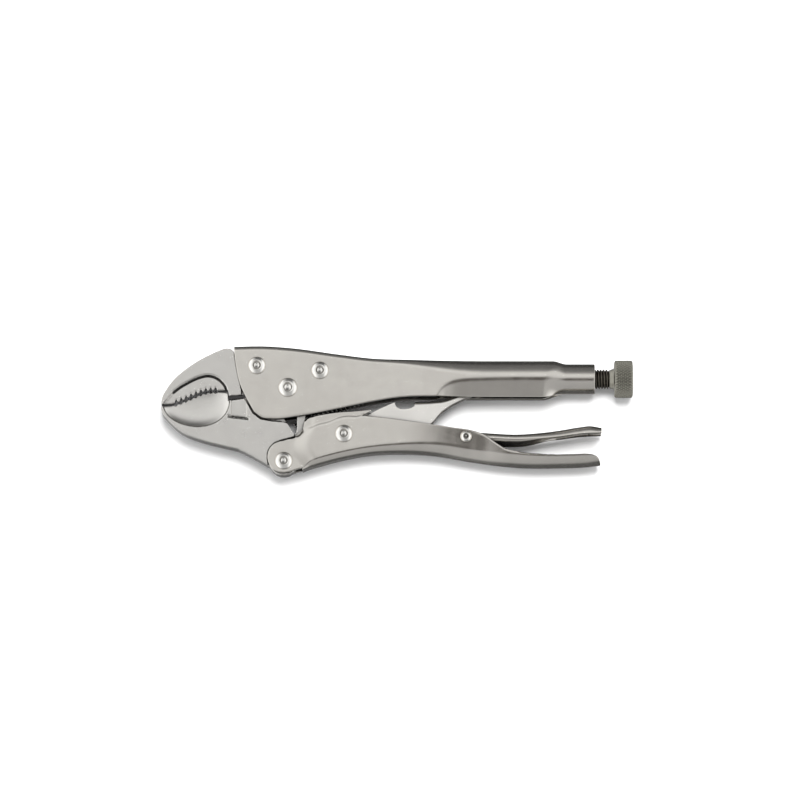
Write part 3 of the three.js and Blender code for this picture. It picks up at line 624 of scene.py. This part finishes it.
def lower_handle():
    px, py = LEVER_PIVOT.x, LEVER_PIVOT.y
    rear = [(RIM_START, 9.6, 8), (9.6, 20, 12), (20, RIM_CUT, 16), (RIM_CUT, RIM_END, 10),
            (RIM_END, 156, 84), (156, LEVER_END, 14)]
    centre = (px, py + DISC_RISE)
    start_x = px + DISC_RADIUS * math.cos(DISC_TURN)
    top_x = stations((start_x, RIM_START, 14), *rear)
    low_x = stations((px, RIM_START, 14), *rear)
    disc_bottom = height_through([
        (px, centre[1] - DISC_RADIUS), (2.2, -44.6), (5.4, -43.6), (WEB_START, -43.0),
    ])
    front = arc(centre, DISC_RADIUS, 1.5 * math.pi, DISC_TURN, CHEEK_ROWS + 1)
    tops, lows, cheeks, bends = [], [], [], []
    for x_top, x_low in zip(top_x, low_x):
        line, run, split = lever_section(x_top)
        cheek_at = np.linspace(0, split, CHEEK_ROWS + 1)[:-1]
        bend_at = np.linspace(split, run[-1], BEND_ROWS + 1)
        cheeks.append(np.stack([np.interp(cheek_at, run, axis) for axis in line.T], 1))
        bends.append(np.stack([np.interp(bend_at, run, axis) for axis in line.T], 1))
        tops.append((x_top, lever_top(x_top)))
        lows.append((x_low, disc_bottom(x_low) if x_low < WEB_START - SAME else bends[-1][0, 0]))
    cheek = patch(np.array(tops), np.array(lows), front)
    columns = []
    for column, x in enumerate(top_x):
        rows = cheek[column, ::-1]
        if x < WEB_START - SAME:
            # there is no underside here, so its rows only keep the grid whole
            z = lever_half(rows[:, 0])
            below = rows[-1] - np.array([0, 0.3])[None] * np.arange(1, BEND_ROWS + 1)[:, None]
            depths = np.concatenate([z, np.full(BEND_ROWS, z[-1])])
            rows = np.column_stack([np.concatenate([rows, below]), depths])
        else:
            side = np.column_stack([rows[:-1, 0], cheeks[column]])
            bend = np.column_stack([np.full(BEND_ROWS + 1, x), bends[column]])
            rows = np.concatenate([side, bend])
        columns.append(np.concatenate([rim_rows(x), rows]))
    outer = both_sides(np.array(columns) * np.array([1, 1, -1]))
    keep = np.ones((outer.shape[0] - 1, outer.shape[1] - 1), bool)
    last = keep.shape[1]
    web = slice(RIM_ROWS + 1 + CHEEK_ROWS, last - RIM_ROWS - 1 - CHEEK_ROWS)
    keep[top_x[:-1] < WEB_START - SAME, web] = False
    outside_rim = (top_x[:-1] < RIM_START - SAME) | (top_x[1:] > RIM_END + SAME)
    keep[outside_rim, :RIM_ROWS] = False
    keep[outside_rim, last - RIM_ROWS:] = False
    unjoined = outside_rim | (top_x[1:] > RIM_CUT + SAME)
    keep[unjoined, RIM_ROWS] = False
    keep[unjoined, last - RIM_ROWS - 1] = False
    piece = bent_sheet("lever_shell", outer, LEVER_SHEET, keep, edge=0.35)
    return finish_piece(piece, "lower_handle", ["lower_handle"], SHEET_NICKEL)


# ---------------------------------------------------------------- toggle link

# the top of the fold between the link's leaves
link_fold = height_through([
    (60, -7.6), (66, -7.3), (76, -6.6), (84, -5.4), (91, -2.0), (99, 4.2), (106, 8.6), (112, 9.0),
])
LINK_TIP = 111.8
LINK_END_RADIUS = 6.2
LEAF_FRONT_TOP, LEAF_FRONT_LOW = (27.6, -19.1), (32.4, -30.5)
NOTCH_START, NOTCH_END = 56.4, 66.4
FOLD_START = 66.8               # behind the notch the two leaves are folded from one sheet
FOLD_BEND = 2.4
FOLD_ROWS = 8
LEAF_ROWS = 12


def toggle_link():
    px, py = LINK_PIVOT.x, LINK_PIVOT.y
    notch = curve_through([
        (NOTCH_START, -7.5), (57.2, -9.8), (59, -10.9), (61.4, -11.2), (63.8, -10.9),
        (65.6, -10.3), (NOTCH_END, -9.7),
    ], 24)
    before_notch = NOTCH_START - 0.01
    upper = height_through([
        LEAF_FRONT_TOP, (30.5, -18.2), (35, -16.7), (40.0, -15.2), (48.6, -11.0),
        (before_notch, -7.5),
    ])
    low = height_through([
        LEAF_FRONT_LOW, (36, -30.4), (44, -28.6), (58, -25.6), (70, -22.7), (76, -18.6),
        (79.6, -14.2), (84, -10.6), (91.3, -6.5), (102, -1.6), (108, 1.8), (LINK_TIP, 4.6),
    ])
    rear = [(46, before_notch, 12), (before_notch, NOTCH_END, 30), (NOTCH_END, FOLD_START, 1),
            (FOLD_START, LINK_TIP, 50)]
    top_x = stations((LEAF_FRONT_TOP[0], 46, 18), *rear)
    low_x = stations((LEAF_FRONT_LOW[0], 46, 18), *rear)
    tops = []
    for x in top_x:
        if x <= NOTCH_START:
            y = upper(x)
        elif x < NOTCH_END + SAME:
            y = np.interp(x, notch[:, 0], notch[:, 1])
        else:
            y = link_fold(x) - FOLD_BEND
        tops.append((x, y))
    front = arc((px + 0.6, py), LINK_END_RADIUS, 2 * math.pi - 1.2, 2.0, LEAF_ROWS + 1)
    leaf = patch(np.array(tops), np.stack([low_x, low(low_x)], 1), front)
    turn = np.linspace(0, np.pi / 2, FOLD_ROWS)[1:]
    columns = []
    for column, x in enumerate(top_x):
        half = mix(LINK_HALF, LINK_TIP_HALF, smoothstep(64, 84, x))
        rise = leaf[column, -1, 1] + FOLD_BEND * np.sin(turn)
        inward = half - FOLD_BEND * (1 - np.cos(turn))
        fold = np.column_stack([np.full(len(turn), x), rise, inward])
        centre = [[x, rise[-1], 0]]
        face = np.column_stack([leaf[column], np.full(LEAF_ROWS + 1, half)])
        columns.append(np.concatenate([face, fold, centre]))
    outer = both_sides(np.array(columns))
    keep = np.ones((outer.shape[0] - 1, outer.shape[1] - 1), bool)
    keep[top_x[:-1] < FOLD_START - SAME, LEAF_ROWS:keep.shape[1] - LEAF_ROWS] = False
    piece = bent_sheet("link_shell", outer, SHEET, keep, edge=0.3)
    return finish_piece(piece, "toggle_link", ["toggle_link"], LIGHTER_LINK_NICKEL)


# ---------------------------------------------------------------- release lever


RELEASE_FRONT, RELEASE_END = 80.3, 165.6
RELEASE_HALF = (5.1, 6.4)       # half width in the handle, and at the tail
RELEASE_BEND = (2.4, 3.6)
RELEASE_TUCK = 3.4              # how far the sides are drawn in, in the middle of its length


def release_lever():
    top = height_through([
        (RELEASE_FRONT, -22.7), (88, -22.8), (96, -23.1), (108.8, -24.0), (120, -24.5),
        (132, -23.8), (144, -22.3), (154, -20.6), (160, -20.0), (RELEASE_END, -21.1),
    ])
    low = height_through([
        (RELEASE_FRONT, -25.0), (84, -26.4), (89, -29.5), (94, -30.3), (103, -30.2),
        (114.6, -30.7), (122.5, -30.6), (128, -29.8), (133, -28.5), (138, -27.2), (144, -26.2),
        (154, -24.8), (RELEASE_END, -24.2),
    ])
    columns = []
    for x in stations((RELEASE_FRONT, 84, 6), (84, 162, 70), (162, RELEASE_END, 6)):
        tail = smoothstep(118, 150, x)
        half = mix(*RELEASE_HALF, tail)
        bend = min(mix(*RELEASE_BEND, tail), top(x) - low(x) - 0.4)
        turn = np.linspace(0, np.pi / 2, 9)
        ys = top(x) - bend * (1 - np.sin(turn))
        zs = half - min(bend * 1.2, half - 0.5) * (1 - np.cos(turn))
        edge = low(x)
        side = np.linspace(edge, ys[0], 13)[:-1]
        tuck = RELEASE_TUCK * smoothstep(104, 112, x) * (1 - smoothstep(134, 148, x))
        share = (ys[0] - side) / max(ys[0] - edge, SAME)
        ys = np.concatenate([side, ys, [ys[-1]]])
        zs = np.concatenate([half - tuck * smoothstep(0.1, 1.3, share), zs, [0]])
        columns.append(np.column_stack([np.full(len(ys), x), ys, zs]))
    outer = both_sides(np.array(columns))
    piece = bent_sheet("release_shell", outer, RELEASE_SHEET, edge=0.3)
    return finish_piece(piece, "release_lever", ["release_lever"], SHEET_NICKEL)


# ---------------------------------------------------------------- jaws


# the edge of the pocket round the upper teeth, the line under the block beside the hollow in the
# lower jaw, and the line that the jaws meet on
POCKET_EDGE = [(-60.5, -2.4), (-56.4, 0.7), (-52.8, 2.8), (-46.8, 5.6), (-42.0, 6.5),
               (-37.8, 5.4), (-34.9, 3.2), (-32.9, 0.4), (-32.1, -2.6)]
BLOCK_EDGE = [(-31.4, -15.2), (-29.9, -15.5), (-25.6, -16.0), (-21.0, -16.6)]
BITE_LINE = [(-67.0, -9.4), (-61.4, -9.0), (-37.0, -1.75), (-31.5, -1.75), (-31.2, -5.2),
             (-22.0, -4.5)]
BAR_GAP = [(-31.6, -6.8), (-22.9, -5.5), (-22.9, -3.0), (-31.6, -3.0)]
GROOVE_WIDTH = 0.45
DISH_CENTRE = (-48.2, -8.2)
DISH_LENGTH, DISH_HEIGHT, DISH_DEPTH = 17.7, 12.6, 3.7
DISH_TURN = 0.05                # slope of its long axis
DISH_SWELL = 0.12               # it is wider behind than in front
DISH_ROUND = 2.6                # how full its section is
VOXEL = 0.3


def forged(name, node, cutters, body):
    """A forging: the node's own shape, cut again by finer tools and with all its edges softened."""
    source = frame["nodes"][node]
    piece = bpy.data.objects.new(name, source.data.copy())
    bpy.context.scene.collection.objects.link(piece)
    for cutter in cutters:
        cut = piece.modifiers.new("cut", "BOOLEAN")
        cut.object = cutter
        cut.operation = "DIFFERENCE"
        cut.solver = "EXACT"
    remesh = piece.modifiers.new("even cells", "REMESH")
    remesh.mode = "VOXEL"
    remesh.voxel_size = VOXEL * MM
    remesh.adaptivity = 0
    soften = piece.modifiers.new("soft edges", "SMOOTH")
    soften.factor = 0.5
    soften.iterations = 3
    evaluated = piece.evaluated_get(bpy.context.evaluated_depsgraph_get())
    mesh = bpy.data.meshes.new_from_object(evaluated)
    piece.modifiers.clear()
    piece.data = mesh
    mesh.shade_smooth()
    for cutter in cutters:
        bpy.data.objects.remove(cutter)
    return finish_piece(piece, body, [node], FORGED_NICKEL, weighted=False)


def surface(mesh):
    """A mesh's points in the frame, the same in millimetres, and how squarely each faces up or
    down."""
    points = np.array([tuple(vertex.co) for vertex in mesh.vertices])
    facing = np.abs(np.array([vertex.normal.z for vertex in mesh.vertices]))
    return points, (points - np.array(ORIGIN)) / MM, facing


def move_points(mesh, points):
    mesh.vertices.foreach_set("co", points.ravel())
    mesh.update()


def distance_to(line, placed):
    """How far each point lies from a line of points, seen from above."""
    return np.min(np.linalg.norm(placed[:, None, :2] - np.array(line)[None], axis=2), axis=1)


def press_groove(mesh, line, depth):
    """Sinks a groove into both faces of a forging along a line."""
    points, placed, facing = surface(mesh)
    profile = np.exp(-(distance_to(line, placed) / GROOVE_WIDTH) ** 2)
    sunk = depth * profile * smoothstep(0.3, 0.8, facing)
    points[:, 2] -= np.sign(placed[:, 2]) * sunk * MM
    move_points(mesh, points)


def hollow_out(mesh):
    """Gives the spoon-shaped hollow on both faces of the lower jaw its smooth form."""
    points, placed, facing = surface(mesh)
    from_centre = placed[:, :2] - np.array(DISH_CENTRE)
    along = from_centre[:, 0] / DISH_LENGTH
    across = (from_centre[:, 1] - DISH_TURN * from_centre[:, 0]) / DISH_HEIGHT
    reach = np.hypot(along, across / (1 + DISH_SWELL * along))
    inside = np.clip(1 - reach ** DISH_ROUND, 0, 1) ** (1 / DISH_ROUND)
    chosen = (reach < 1.0) & (facing > 0.35) & (np.abs(placed[:, 2]) > 1)
    depth = np.sign(placed[:, 2]) * (NOSE_HALF - DISH_DEPTH * inside)
    points[chosen, 2] = ORIGIN.z + depth[chosen] * MM
    move_points(mesh, points)


def paint_bite_shade(mesh):
    """Paints black shade on the walls between the jaws and their teeth."""
    _, placed, facing = surface(mesh)
    wall = 1 - smoothstep(0.45, 0.85, facing)
    painted_bite_shade = wall * (1 - smoothstep(1.6, 3.4, distance_to(evenly(BITE_LINE, 120), placed)))
    layer = mesh.attributes.new("painted_bite_shade", "FLOAT", "POINT")
    layer.data.foreach_set("value", painted_bite_shade.astype(np.float32))


def bar_cutter():
    """Opens the gap between the jaws behind the hollow."""
    rings = [[(x, y, z) for x, y in BAR_GAP] for z in (-9, 9)]
    return tube_piece("bar_cutter", np.array(rings, float))


# ---------------------------------------------------------------- screw and knob

PITCH = 1.5
THREAD_RADIUS = 5.15
THREAD_DEPTH = 0.85
THREAD_START, THREAD_END = 134.5, 169.6
THREAD_AROUND = 48
UNDERCUT_RADIUS = 4.0           # between the thread and the knob
RING_GROOVE_RADIUS = 3.6
TIP_CHAMFER = 1.2
KNOB_BORE = 4.2
BOSS_START, BOSS_END = 169.7, 172.4
BOSS_RADIUS = 4.8
KNOB_CHAMFER = 1.3
KNOB_AROUND = 600
KNURL_CUTS, KNURL_LEAD, KNURL_DEPTH = 40, 2.2, 0.5


def round_the_screw(x, radius, turn):
    """Points around the screw's axis."""
    return np.stack([
        x[:, None] + 0 * turn, SCREW_AXIS + radius * np.cos(turn), radius * np.sin(turn),
    ], -1)


def adjusting_screw():
    low, high = local_box("adjusting_screw")
    ring = local_box("screw_stop_ring")
    xs = np.arange(low.x, high.x, PITCH / 12)
    turn = np.arange(THREAD_AROUND) * 2 * np.pi / THREAD_AROUND
    phase = ((xs[:, None] - THREAD_START) / PITCH - turn[None] / (2 * np.pi)) % 1
    crest = np.clip(1.35 - 3.0 * np.abs(phase - 0.5), 0, 1)
    run_in = smoothstep(THREAD_START, THREAD_START + 2, xs)
    run_out = 1 - smoothstep(THREAD_END - 0.6, THREAD_END, xs)
    core = THREAD_RADIUS - THREAD_DEPTH
    radius = core + THREAD_DEPTH * crest * (run_in * run_out)[:, None]
    radius = np.where((xs > THREAD_END)[:, None], UNDERCUT_RADIUS, radius)
    groove = (xs > ring[0].x - 0.3) & (xs < ring[1].x + 0.3)
    radius = np.where(groove[:, None], RING_GROOVE_RADIUS, radius)
    radius = radius - TIP_CHAMFER * (1 - smoothstep(low.x, low.x + TIP_CHAMFER, xs))[:, None]
    piece = tube_piece("threaded_screw", round_the_screw(xs, radius, turn))
    return finish_piece(piece, "adjusting_screw", ["adjusting_screw"], SCREW_STEEL,
                        weighted=False)


def screw_knob():
    high = local_box("screw_knob")[1]
    start, end, radius, chamfer = BOSS_END, high.x, high.z, KNOB_CHAMFER
    corner = np.linspace(0, np.pi / 2, 7)
    long_way, short_way = chamfer * (1 - np.cos(corner)), chamfer * (1 - np.sin(corner))
    rim = np.linspace(start + chamfer, end - chamfer, 56)[1:-1]
    x = np.concatenate([
        [BOSS_START, BOSS_START, BOSS_START + 0.3, BOSS_END - 0.4, BOSS_END, start],
        start + long_way, rim, end - short_way, [end, end],
    ])
    out = np.concatenate([
        [KNOB_BORE, BOSS_RADIUS - 0.3, BOSS_RADIUS, BOSS_RADIUS + 0.7, BOSS_RADIUS + 1.1],
        [radius - chamfer - 1.2],
        radius - short_way, np.full(len(rim), radius), radius - long_way,
        [radius - chamfer - 1.2, 0.001],
    ])
    turn = np.arange(KNOB_AROUND) * 2 * np.pi / KNOB_AROUND
    spiral = turn[None] / (2 * np.pi) * KNURL_CUTS
    slide = x[:, None] / KNURL_LEAD
    distance = [np.abs((way + 0.5) % 1 - 0.5) for way in (spiral + slide, spiral - slide)]
    groove = np.clip(1 - np.minimum(*distance) * 3.4, 0, 1)
    knurled = smoothstep(radius - 0.75 * chamfer, radius - 0.2, out)[:, None]
    out = out[:, None] - KNURL_DEPTH * groove * knurled
    piece = tube_piece("knurled_knob", round_the_screw(x, out, turn))
    return finish_piece(piece, "adjusting_screw", ["screw_knob"], KNOB_STEEL,
                        weighted=False)


# ---------------------------------------------------------------- rivets

# each rivet's body, and the height of the face that its head sits on
RIVETS = {
    "jaw_rivet_front": ("upper_handle", FRONT_HALF),
    "jaw_rivet_rear": ("upper_handle", FRONT_HALF),
    "jaw_pivot_rivet": ("upper_handle", FRONT_HALF),
    "lever_pivot_rivet": ("lower_jaw", LEVER_FRONT_HALF),
    "link_rivet": ("lower_handle", LEVER_HALF),
    "release_rivet": ("lower_handle", LEVER_HALF),
}
# section of a rivet's head, as shares of its radius and its height
RIVET_HEAD = [
    (1.0, 0.0), (0.985, 0.1), (0.95, 0.26), (0.88, 0.50), (0.80, 0.70), (0.72, 0.85),
    (0.64, 0.95), (0.57, 1.0), (0.51, 0.97), (0.46, 0.84), (0.40, 0.64), (0.32, 0.44),
    (0.24, 0.29), (0.16, 0.19), (0.08, 0.13), (0.0002, 0.11),
]
DIMPLE = 0.52                   # radius of the dimple, as a share of the head's
DIMPLE_SHIFT = 0.16             # the dimple's middle is off the head's by this share
SHANK = 0.5


def rivet(node, body, seat):
    """A pin whose heads are rolled over into a ring round a dimple."""
    low, high = local_box(node)
    head, rise = (high.x - low.x) / 2, high.z - seat
    shape = curve_through([(head * r, seat + rise * z) for r, z in RIVET_HEAD], 40)
    shank = SHANK * head
    side = [(0, shank), (seat, shank)] + [(z, r) for r, z in shape]
    profile = [(-z, r) for z, r in reversed(side[1:])] + side
    centre = ((low.x + high.x) / 2, (low.y + high.y) / 2, 0)
    piece = turned(f"{node}_pin", profile, 72, centre, "z")
    for vertex in piece.data.vertices:
        place = local(vertex.co)
        out = math.hypot(place.x - centre[0], place.y - centre[1]) / (DIMPLE * head)
        if out < 1 and abs(place.z) > seat - 0.5:
            vertex.co.y += DIMPLE_SHIFT * head * (1 - out) * MM
    return finish_piece(piece, body, [node], RIVET_NICKEL, weighted=False)


# ---------------------------------------------------------------- spring and stop ring


SPRING_HOOK = Vector((3.4, -19.2, 0))       # where it holds the lower jaw
SPRING_ANCHOR = Vector((57.0, 2.2, 0))      # where it holds the tab
SPRING_TURNS, SPRING_RADIUS, WIRE_RADIUS = 18, 2.6, 0.58
STEPS_PER_TURN = 16


def tension_spring():
    hook, anchor = SPRING_HOOK, SPRING_ANCHOR
    span = (anchor - hook).length
    along = (anchor - hook).normalized()
    across = Vector((-along.y, along.x, 0))
    coil_start, coil_end = 9.6, span - 7
    side = math.pi / 2

    def at(distance, out, turn):
        flat = hook + along * distance + across * (out * math.cos(turn))
        return (flat.x, flat.y, out * math.sin(turn))

    points = [at(0, 2.4, side), at(0, 1.2, side), at(0.7, 0.1, side), at(2.5, 0, side),
              at(7, 0.3, side)]
    steps = SPRING_TURNS * STEPS_PER_TURN
    for step in range(steps + 1):
        turn = side + 2 * math.pi * SPRING_TURNS * step / steps
        points.append(at(mix(coil_start, coil_end, step / steps), SPRING_RADIUS, turn))
    points += [at(coil_end + 2.4, 1.6, side), at(span - 3, 0.3, side), at(span, 0, 0),
               at(span + 2.8, 0, 0)]
    piece = wire("spring_coil", curve_through(points, 760), WIRE_RADIUS)
    piece.data.materials.append(SPRING_STEEL)
    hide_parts("tension_spring")
    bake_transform(piece)
    return piece


def wire(name, path, radius, around=10):
    """Round wire along a path."""
    way = np.gradient(path, axis=0)
    way /= np.linalg.norm(way, axis=1)[:, None]
    side = np.cross(way[0], (0, 0, 1.0))
    sides = []
    for direction in way:
        side = side - direction * (side @ direction)
        side /= np.linalg.norm(side)
        sides.append(side)
    sides = np.array(sides)
    other = np.cross(way, sides)
    turn = (np.arange(around) * 2 * np.pi / around)[None, :, None]
    ring = sides[:, None] * np.cos(turn) + other[:, None] * np.sin(turn)
    return tube_piece(name, path[:, None] + radius * ring)


def stop_ring():
    low, high = local_box("screw_stop_ring")
    inner, outer, soft, around = 3.9, high.z, 0.15, 48
    profile = [(low.x, inner), (low.x, outer - soft), (low.x + soft, outer),
               (high.x - soft, outer), (high.x, outer - soft), (high.x, inner)]
    piece = turned("snap_ring", profile, around, (0, SCREW_AXIS, 0), "x")
    close_ring(piece, len(profile), around)
    return finish_piece(piece, "stop_ring", ["screw_stop_ring"], SPRING_STEEL)


# ---------------------------------------------------------------- studio

CAMERA_ELEVATION = math.radians(81.5)
VIEW_WIDTH = 0.4228             # metres across the picture at the tool
VIEW_CENTRE = (59.2, -5.7, 0)
LENS = 300


def studio():
    """A plain sheet of white paper."""
    floor_mesh = bpy.data.meshes.new("floor")
    reach = 8.0
    corners = [(-reach, -reach, 0), (reach, -reach, 0), (reach, reach, 0), (-reach, reach, 0)]
    floor_mesh.from_pydata(corners, [], [(0, 1, 2, 3)])
    floor = bpy.data.objects.new("floor", floor_mesh)
    bpy.context.scene.collection.objects.link(floor)
    paper = bpy.data.materials.new("white paper")
    paper.use_nodes = True
    shader = paper.node_tree.nodes["Principled BSDF"]
    shader.inputs["Base Color"].default_value = (0.93, 0.93, 0.93, 1)
    shader.inputs["Roughness"].default_value = 0.9
    floor_mesh.materials.append(paper)
    floor.visible_glossy = False


def key_light():
    """A broad lamp behind the tool, which doesn't show in reflections."""
    lamp = bpy.data.lights.new("key", "AREA")
    lamp.shape = "DISK"
    lamp.size = 1.3
    lamp.energy = 72
    key = bpy.data.objects.new("key", lamp)
    key.location = (0.2, 0.8, 2.1)
    key.rotation_euler = (Vector((0, 0, 0)) - key.location).to_track_quat("-Z", "Y").to_euler()
    key.visible_glossy = False
    bpy.context.scene.collection.objects.link(key)


def surroundings():
    """A softbox overhead, a dark wall behind, grey in front, bright sides and the dark opening
    that the camera looks through."""
    world = bpy.data.worlds.new("studio")
    world.use_nodes = True
    bpy.context.scene.world = world
    tree = world.node_tree
    nodes = Nodes(tree)
    way = nodes.add("ShaderNodeTexCoord").outputs["Generated"]
    axes = nodes.add("ShaderNodeSeparateXYZ", {0: way}).outputs

    def maths(operation, *values):
        return nodes.add("ShaderNodeMath", enumerate(values), operation=operation).outputs[0]

    front_to_back = nodes.ramp(maths("MULTIPLY_ADD", axes[1], 0.5, 0.5), [
        (0.0, 0.46), (0.25, 0.5), (0.315, 0.54), (0.4, 0.64), (0.47, 0.84), (0.7, 0.92),
        (0.76, 0.75), (0.83, 0.32), (0.91, 0.17), (1.0, 0.12),
    ])
    above = nodes.ramp(maths("ADD", axes[2], 0.5), [(0.3, 0.22), (0.58, 1.0)])
    light = nodes.blend("MULTIPLY", 1.0, front_to_back, above)
    ends = nodes.ramp(maths("ABSOLUTE", axes[0]), [(0.45, 0.0), (0.82, 1.0)])
    light = nodes.blend("MIX", ends, light, (1.2, 1.2, 1.2, 1))
    left = nodes.ramp(maths("MULTIPLY", axes[0], -1.0), [(0.1, 0.0), (0.35, 0.3), (0.75, 1.0)])
    light = nodes.blend("MIX", left, light, (1.25, 1.25, 1.25, 1))

    tilt = math.pi / 2 - CAMERA_ELEVATION
    lens = (0, -math.sin(tilt), math.cos(tilt))
    near = nodes.add("ShaderNodeVectorMath", {0: way, 1: lens}, operation="DOT_PRODUCT")
    rim, hole = math.cos(math.radians(15.5)), math.cos(math.radians(8))
    opening = nodes.ramp(near.outputs["Value"], [(rim, 0.0), (hole, 1.0)])
    light = nodes.blend("MIX", opening, light, (0.055, 0.045, 0.038, 1))

    sight = nodes.add("ShaderNodeLightPath").outputs["Is Camera Ray"]
    light = nodes.blend("MIX", sight, light, (0.9, 0.9, 0.9, 1))
    background = tree.nodes["Background"]
    nodes.set(background.inputs["Color"], light)
    background.inputs["Strength"].default_value = 1.0


def camera():
    """Above the tool and a little in front of it, through a long lens."""
    lens = bpy.data.cameras.new("camera")
    lens.lens = LENS
    lens.clip_end = 100
    eye = bpy.data.objects.new("camera", lens)
    bpy.context.scene.collection.objects.link(eye)
    distance = VIEW_WIDTH * LENS / lens.sensor_width
    target = ORIGIN + Vector(VIEW_CENTRE) * MM
    back = Vector((0, -math.cos(CAMERA_ELEVATION), math.sin(CAMERA_ELEVATION)))
    eye.location = target + back * distance
    eye.rotation_euler = (-back).to_track_quat("-Z", "Y").to_euler()
    bpy.context.scene.camera = eye


# ---------------------------------------------------------------- the whole tool

bpy.context.scene.view_settings.view_transform = "Standard"
camera()
studio()
key_light()
surroundings()

upper_handle()
neck_nut()
spring_tab()
lower_handle()
toggle_link()
release_lever()
upper_jaw = forged("upper_jaw_forging", "upper_jaw", [], "upper_handle")
press_groove(upper_jaw.data, curve_through(POCKET_EDGE, 160), depth=1.1)
lower_jaw = forged("lower_jaw_forging", "lower_jaw", [bar_cutter()], "lower_jaw")
hollow_out(lower_jaw.data)
press_groove(lower_jaw.data, curve_through(BLOCK_EDGE, 60), depth=1.0)
# paint black shade into the bite of both jaws
for jaw in (upper_jaw, lower_jaw):
    paint_bite_shade(jaw.data)
adjusting_screw()
screw_knob()
stop_ring()
tension_spring()
for rivet_node, (rivet_body, rivet_seat) in RIVETS.items():
    rivet(rivet_node, rivet_body, rivet_seat)
